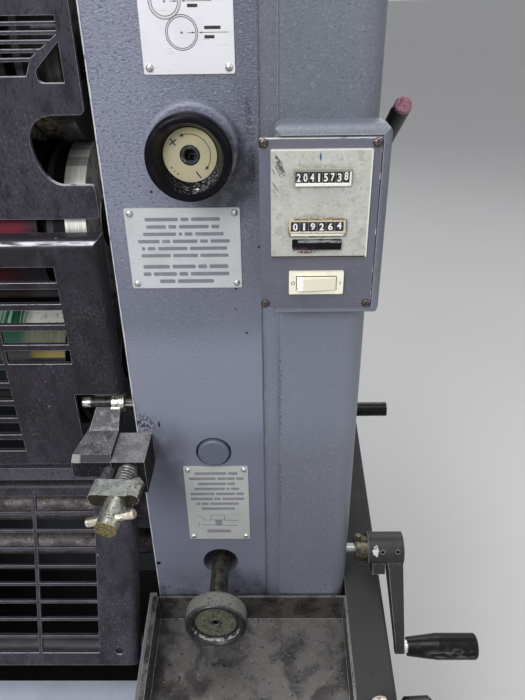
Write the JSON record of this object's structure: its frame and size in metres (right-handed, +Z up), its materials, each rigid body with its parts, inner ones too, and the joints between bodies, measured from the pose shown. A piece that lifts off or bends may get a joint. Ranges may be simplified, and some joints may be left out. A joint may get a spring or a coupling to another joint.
{
  "type": "offset press printing unit",
  "caption": "Sheet-fed offset press printing unit with its delivery end: cast columns, cylinders, hinged guards, counters, knobs, crank and tool tray.",
  "frame": {"origin": "on the floor, at the centre of the four anchor bolt holes", "axes": "+X across the machine to the operator's side, +Y from the delivery end to the feed end, +Z up"},
  "size_m": [1.3, 1.255, 1.56],
  "materials": {
    "hammertone": "hammered blue-grey machine paint",
    "cover_paint": "satin grey machine paint",
    "housing_paint": "satin grey machine paint",
    "wall_paint": "worn dark grey paint",
    "guard_paint": "semi-gloss dark paint, worn edges",
    "tray_steel": "oily folded sheet",
    "board_paint": "light blue-grey paint",
    "plate_blanket": "printing plate on a steel cylinder",
    "blanket_rubber": "printing blanket, inked",
    "impression_steel": "ground steel with green ink",
    "roller_steel": "stained steel rollers",
    "bright_steel": "turned steel",
    "clamp_iron": "greasy worn iron",
    "knob_black": "worn black thermoset",
    "plate_metal": "satin plate",
    "counter_cream": "cream plate",
    "counter_frame": "counter window",
    "key_black": "black key",
    "switch_cream": "cream switch",
    "lever_red": "dull red grip"
  },
  "bodies": {
    "press": {"base_plinth": "wall_paint", "column_right": "hammertone", "column_left": "hammertone", "cover_right": "cover_paint", "cover_left": "cover_paint", "side_wall_right": "wall_paint", "side_wall_left": "wall_paint", "delivery_box_right": "housing_paint", "delivery_box_left": "housing_paint", "delivery_crossbeam": "wall_paint", "pile_board": "board_paint", "tool_tray": "tray_steel", "ink_unit_housing": "cover_paint", "rear_panel": "cover_paint", "feed_board": "board_paint", "guard_rail": "guard_paint", "clamp_shaft": "bright_steel", "clamp_block": "clamp_iron", "clamp_cap": "clamp_iron", "clamp_yoke": "clamp_iron", "plug_cap_right": "hammertone", "plug_cap_left": "hammertone", "instruction_plate_top": "plate_metal", "instruction_plate_middle": "plate_metal", "instruction_plate_lower": "plate_metal", "counter_housing": "cover_paint", "counter_panel": "cover_paint", "counter_plate": "counter_cream", "total_counter": "counter_frame", "job_counter": "counter_frame", "switch_bezel": "switch_cream"},
    "plate_cylinder": {"plate_cylinder": "plate_blanket"},
    "blanket_cylinder": {"blanket_cylinder": "blanket_rubber"},
    "impression_cylinder": {"impression_cylinder": "impression_steel"},
    "numbering_shaft": {"numbering_shaft": "roller_steel"},
    "delivery_roller": {"delivery_roller": "roller_steel"},
    "lower_roller": {"lower_roller": "roller_steel"},
    "upper_guard": {"guard_upper": "guard_paint"},
    "blanket_guard": {"guard_blanket": "guard_paint"},
    "delivery_guard": {"guard_delivery": "guard_paint"},
    "clamp_screw_right": {"clamp_screw_right": "bright_steel"},
    "clamp_screw_left": {"clamp_screw_left": "bright_steel"},
    "pressure_knob_right": {"pressure_knob_right": "knob_black"},
    "pressure_knob_left": {"pressure_knob_left": "knob_black"},
    "numbering_knob_right": {"numbering_knob_right": "knob_black"},
    "numbering_knob_left": {"numbering_knob_left": "knob_black"},
    "reset_key": {"reset_key": "key_black"},
    "rocker": {"rocker_switch": "switch_cream"},
    "crank": {"crank_arm": "wall_paint"},
    "grip": {"crank_grip": "knob_black"},
    "side_lever": {"side_lever": "knob_black"},
    "release_lever": {"release_lever": "lever_red"},
    "pile_lever": {"pile_lever": "knob_black"}
  },
  "joints": [
    {"name": "blanket_cylinder_turn", "type": "hinge", "parent": "press", "child": "blanket_cylinder", "pos_m": [0, 0.129, 1.165], "axis": [1, 0, 0], "continuous": true},
    {"name": "plate_cylinder_turn", "type": "hinge", "parent": "press", "child": "plate_cylinder", "pos_m": [0, 0.129, 1.34], "axis": [1, 0, 0], "continuous": true},
    {"name": "impression_cylinder_turn", "type": "hinge", "parent": "press", "child": "impression_cylinder", "pos_m": [0, 0.129, 0.99], "axis": [1, 0, 0], "continuous": true},
    {"name": "numbering_shaft_turn", "type": "hinge", "parent": "press", "child": "numbering_shaft", "pos_m": [0, 0.076, 0.788], "axis": [1, 0, 0], "continuous": true},
    {"name": "delivery_roller_turn", "type": "hinge", "parent": "press", "child": "delivery_roller", "pos_m": [0, 0.072, 0.72], "axis": [1, 0, 0], "continuous": true},
    {"name": "lower_roller_turn", "type": "hinge", "parent": "press", "child": "lower_roller", "pos_m": [0, 0.024, 0.561], "axis": [1, 0, 0], "continuous": true},
    {"name": "upper_guard_swing", "type": "hinge", "parent": "press", "child": "upper_guard", "pos_m": [0, 0.0325, 1.452], "axis": [-1, 0, 0], "range_deg": [0, 60]},
    {"name": "blanket_guard_swing", "type": "hinge", "parent": "press", "child": "blanket_guard", "pos_m": [0, 0.004, 0.908], "axis": [1, 0, 0], "range_deg": [0, 50]},
    {"name": "delivery_guard_swing", "type": "hinge", "parent": "press", "child": "delivery_guard", "pos_m": [0, 0.0338, 0.855], "axis": [-1, 0, 0], "range_deg": [0, 55]},
    {"name": "clamp_screw_right_turn", "type": "hinge", "parent": "press", "child": "clamp_screw_right", "pos_m": [0.29273, -0.0989, 0.94618], "axis": [0.1375, 0.9781, 0.1564], "range_deg": [-180, 180]},
    {"name": "clamp_screw_left_turn", "type": "hinge", "parent": "press", "child": "clamp_screw_left", "pos_m": [-0.29273, -0.0989, 0.94618], "axis": [-0.1375, 0.9781, 0.1564], "range_deg": [-180, 180]},
    {"name": "pressure_right_turn", "type": "hinge", "parent": "press", "child": "pressure_knob_right", "pos_m": [0.384, -0.03, 1.272], "axis": [0, 1, 0], "range_deg": [-150, 150]},
    {"name": "pressure_left_turn", "type": "hinge", "parent": "press", "child": "pressure_knob_left", "pos_m": [-0.384, -0.03, 1.272], "axis": [0, 1, 0], "range_deg": [-150, 150]},
    {"name": "numbering_right_turn", "type": "hinge", "parent": "press", "child": "numbering_knob_right", "pos_m": [0.384, -0.09, 0.76], "axis": [0, 1, 0], "range_deg": [-150, 150]},
    {"name": "numbering_left_turn", "type": "hinge", "parent": "press", "child": "numbering_knob_left", "pos_m": [-0.384, -0.09, 0.76], "axis": [0, 1, 0], "range_deg": [-150, 150]},
    {"name": "reset_key_push", "type": "slide", "parent": "press", "child": "reset_key", "axis": [0, 1, 0], "range_m": [0, 0.003], "stiffness_N_per_m": 300, "springref_m": -0.002},
    {"name": "rocker_tilt", "type": "hinge", "parent": "press", "child": "rocker", "pos_m": [0.4904, -0.0315, 1.1585], "axis": [0, 0, 1], "range_deg": [-6, 6]},
    {"name": "crank_turn", "type": "hinge", "parent": "press", "child": "crank", "pos_m": [0.5739, 0.02, 0.761], "axis": [1, 0, 0], "continuous": true},
    {"name": "grip_spin", "type": "hinge", "parent": "crank", "child": "grip", "pos_m": [0.6439, -0.04489, 0.653], "axis": [1, 0, 0], "continuous": true},
    {"name": "side_lever_swing", "type": "hinge", "parent": "press", "child": "side_lever", "pos_m": [0.5519, 0.275, 0.905], "axis": [1, 0, 0], "range_deg": [-20, 20]},
    {"name": "release_lever_swing", "type": "hinge", "parent": "press", "child": "release_lever", "pos_m": [0.5539, 0.35, 1.192], "axis": [1, 0, 0], "range_deg": [-25, 25]},
    {"name": "pile_lever_swing", "type": "hinge", "parent": "press", "child": "pile_lever", "pos_m": [0.5685, -0.14996, 0.67817], "axis": [0, -0.1633, 0.9866], "range_deg": [-20, 20]}
  ],
  "couplings": [
    {"joint": "plate_cylinder_turn", "follows": "blanket_cylinder_turn", "ratio": -1},
    {"joint": "impression_cylinder_turn", "follows": "blanket_cylinder_turn", "ratio": -1},
    {"joint": "numbering_shaft_turn", "follows": "blanket_cylinder_turn", "ratio": 1},
    {"joint": "delivery_roller_turn", "follows": "blanket_cylinder_turn", "ratio": -1},
    {"joint": "lower_roller_turn", "follows": "blanket_cylinder_turn", "ratio": -1}
  ]
}
